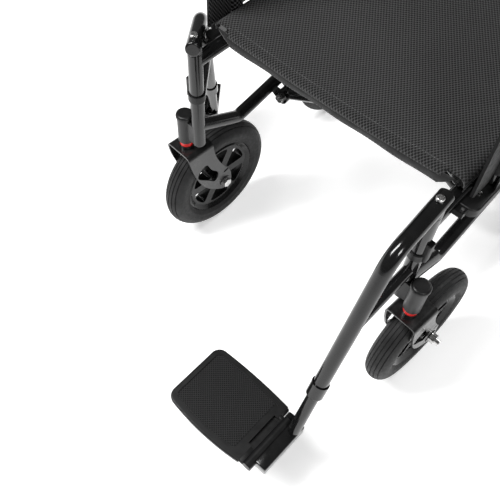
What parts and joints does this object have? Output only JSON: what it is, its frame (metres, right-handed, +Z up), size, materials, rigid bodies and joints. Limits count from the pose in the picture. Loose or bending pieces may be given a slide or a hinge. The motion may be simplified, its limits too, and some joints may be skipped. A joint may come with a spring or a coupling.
{
  "type": "transport wheelchair",
  "caption": "Folding transport wheelchair: tubular side frames on an X brace, sling seat and back, flip-back arms, swing-away legrests, swivel casters and small rear wheels.",
  "frame": {"origin": "floor point under the centre of the bounding box", "axes": "+X to the sitter's left, -Y the way the chair faces, +Z up"},
  "size_m": [0.6956, 0.9522, 0.9321],
  "materials": {
    "frame": "gloss black powder coat",
    "fork": "gloss black",
    "plastic": "satin moulded black",
    "panel": "satin moulded dark grey",
    "housing": "satin dark grey",
    "grip": "matt ribbed",
    "pad": "padded artificial leather",
    "tyre": "ribbed solid tyre",
    "rim": "gloss moulded black",
    "steel": "bright zinc plate",
    "ring": "gloss red",
    "seat_cloth": "black spacer mesh",
    "back_cloth": "black spacer mesh"
  },
  "bodies": {
    "left_frame": {"front_post_l": "frame", "legrest_latch_l": "plastic", "upper_rail_l": "frame", "lower_rail_l": "frame", "back_cane_l": "frame", "push_grip_l": "grip", "caster_housing_l": "housing", "caster_cap_l": "plastic", "seat_guides_l": "plastic", "arm_bracket_l": "plastic", "arm_hinge_l": "plastic", "lock_bracket_l": "fork", "frame_bolts_l": "steel", "back": "back_cloth"},
    "right_frame": {"front_post_r": "frame", "legrest_latch_r": "plastic", "upper_rail_r": "frame", "lower_rail_r": "frame", "back_cane_r": "frame", "push_grip_r": "grip", "caster_housing_r": "housing", "caster_cap_r": "plastic", "seat_guides_r": "plastic", "arm_bracket_r": "plastic", "arm_hinge_r": "plastic", "lock_bracket_r": "fork", "frame_bolts_r": "steel"},
    "brace_a": {"cross_brace_l": "frame", "seat_rail_r": "frame", "seat": "seat_cloth"},
    "brace_b": {"cross_brace_r": "frame", "seat_rail_l": "frame"},
    "caster_l": {"caster_fork_l": "fork", "stem_ring_l": "ring", "caster_axle_l": "steel"},
    "caster_wheel_l": {"caster_tyre_l": "tyre", "caster_rim_l": "rim"},
    "rear_wheel_l": {"rear_tyre_l": "tyre", "rear_rim_l": "rim"},
    "lock_l": {"lock_lever_l": "plastic"},
    "armrest_l": {"arm_frame_l": "frame", "arm_pad_l": "pad", "side_panel_l": "panel"},
    "legrest_l": {"hanger_l": "frame"},
    "leg_l": {"leg_extension_l": "frame"},
    "plate_l": {"footplate_l": "plastic"},
    "caster_r": {"caster_fork_r": "fork", "stem_ring_r": "ring", "caster_axle_r": "steel"},
    "caster_wheel_r": {"caster_tyre_r": "tyre", "caster_rim_r": "rim"},
    "rear_wheel_r": {"rear_tyre_r": "tyre", "rear_rim_r": "rim"},
    "lock_r": {"lock_lever_r": "plastic"},
    "armrest_r": {"arm_frame_r": "frame", "arm_pad_r": "pad", "side_panel_r": "panel"},
    "legrest_r": {"hanger_r": "frame"},
    "leg_r": {"leg_extension_r": "frame"},
    "plate_r": {"footplate_r": "plastic"}
  },
  "joints": [
    {"name": "fold", "type": "hinge", "parent": "left_frame", "child": "brace_a", "pos_m": [0.24583, 0.04392, 0.25448], "axis": [0, 1, 0], "range_deg": [0, 50], "deforming": ["seat", "back"]},
    {"name": "fold_x", "type": "hinge", "parent": "brace_a", "child": "brace_b", "pos_m": [0.06983, 0.03193, 0.34742], "axis": [0, 1, 0], "range_deg": [-100, 0]},
    {"name": "fold_right", "type": "hinge", "parent": "brace_b", "child": "right_frame", "pos_m": [-0.10617, 0.01992, 0.25448], "axis": [0, 1, 0], "range_deg": [0, 50]},
    {"name": "caster_swivel_l", "type": "hinge", "parent": "left_frame", "child": "caster_l", "pos_m": [0.29763, -0.17308, 0.26998], "axis": [0, 0, 1], "continuous": true},
    {"name": "caster_roll_l", "type": "hinge", "parent": "caster_l", "child": "caster_wheel_l", "pos_m": [0.30171, -0.11161, 0.11248], "axis": [0.9978, -0.0663, 0], "continuous": true},
    {"name": "rear_roll_l", "type": "hinge", "parent": "left_frame", "child": "rear_wheel_l", "pos_m": [0.31583, 0.30493, 0.15198], "axis": [1, 0, 0], "continuous": true},
    {"name": "wheel_lock_l", "type": "hinge", "parent": "left_frame", "child": "lock_l", "pos_m": [0.31583, 0.19372, 0.28451], "axis": [1, 0, 0], "range_deg": [0, 50]},
    {"name": "arm_flip_l", "type": "hinge", "parent": "left_frame", "child": "armrest_l", "pos_m": [0.29183, 0.25293, 0.66798], "axis": [-1, 0, 0], "range_deg": [0, 92]},
    {"name": "leg_swing_l", "type": "hinge", "parent": "left_frame", "child": "legrest_l", "pos_m": [0.27233, -0.16808, 0.44998], "axis": [0, 0, 1], "range_deg": [0, 141]},
    {"name": "leg_length_l", "type": "slide", "parent": "legrest_l", "child": "leg_l", "axis": [0, -0.3811, -0.9245], "range_m": [-0.04, 0.05]},
    {"name": "footplate_flip_l", "type": "hinge", "parent": "leg_l", "child": "plate_l", "pos_m": [0.25583, -0.41807, 0.11198], "axis": [0, 1, 0], "range_deg": [0, 86]},
    {"name": "caster_swivel_r", "type": "hinge", "parent": "right_frame", "child": "caster_r", "pos_m": [-0.15797, -0.17308, 0.26998], "axis": [0, 0, 1], "continuous": true},
    {"name": "caster_roll_r", "type": "hinge", "parent": "caster_r", "child": "caster_wheel_r", "pos_m": [-0.15464, -0.11156, 0.11248], "axis": [0.9985, -0.0541, 0], "continuous": true},
    {"name": "rear_roll_r", "type": "hinge", "parent": "right_frame", "child": "rear_wheel_r", "pos_m": [-0.17617, 0.30493, 0.15198], "axis": [1, 0, 0], "continuous": true},
    {"name": "wheel_lock_r", "type": "hinge", "parent": "right_frame", "child": "lock_r", "pos_m": [-0.17617, 0.19372, 0.28451], "axis": [1, 0, 0], "range_deg": [0, 50]},
    {"name": "arm_flip_r", "type": "hinge", "parent": "right_frame", "child": "armrest_r", "pos_m": [-0.15217, 0.25293, 0.66798], "axis": [-1, 0, 0], "range_deg": [0, 92]},
    {"name": "leg_swing_r", "type": "hinge", "parent": "right_frame", "child": "legrest_r", "pos_m": [-0.13267, -0.16808, 0.44998], "axis": [0, 0, 1], "range_deg": [0, 141]},
    {"name": "leg_length_r", "type": "slide", "parent": "legrest_r", "child": "leg_r", "axis": [-0.2398, 0.2962, -0.9245], "range_m": [-0.04, 0.05]},
    {"name": "footplate_flip_r", "type": "hinge", "parent": "leg_r", "child": "plate_r", "pos_m": [-0.30282, 0.01583, 0.11198], "axis": [0.6293, -0.7771, 0], "range_deg": [0, 86]}
  ],
  "couplings": [
    {"joint": "fold_x", "follows": "fold", "ratio": -2},
    {"joint": "fold_right", "follows": "fold", "ratio": 1}
  ]
}
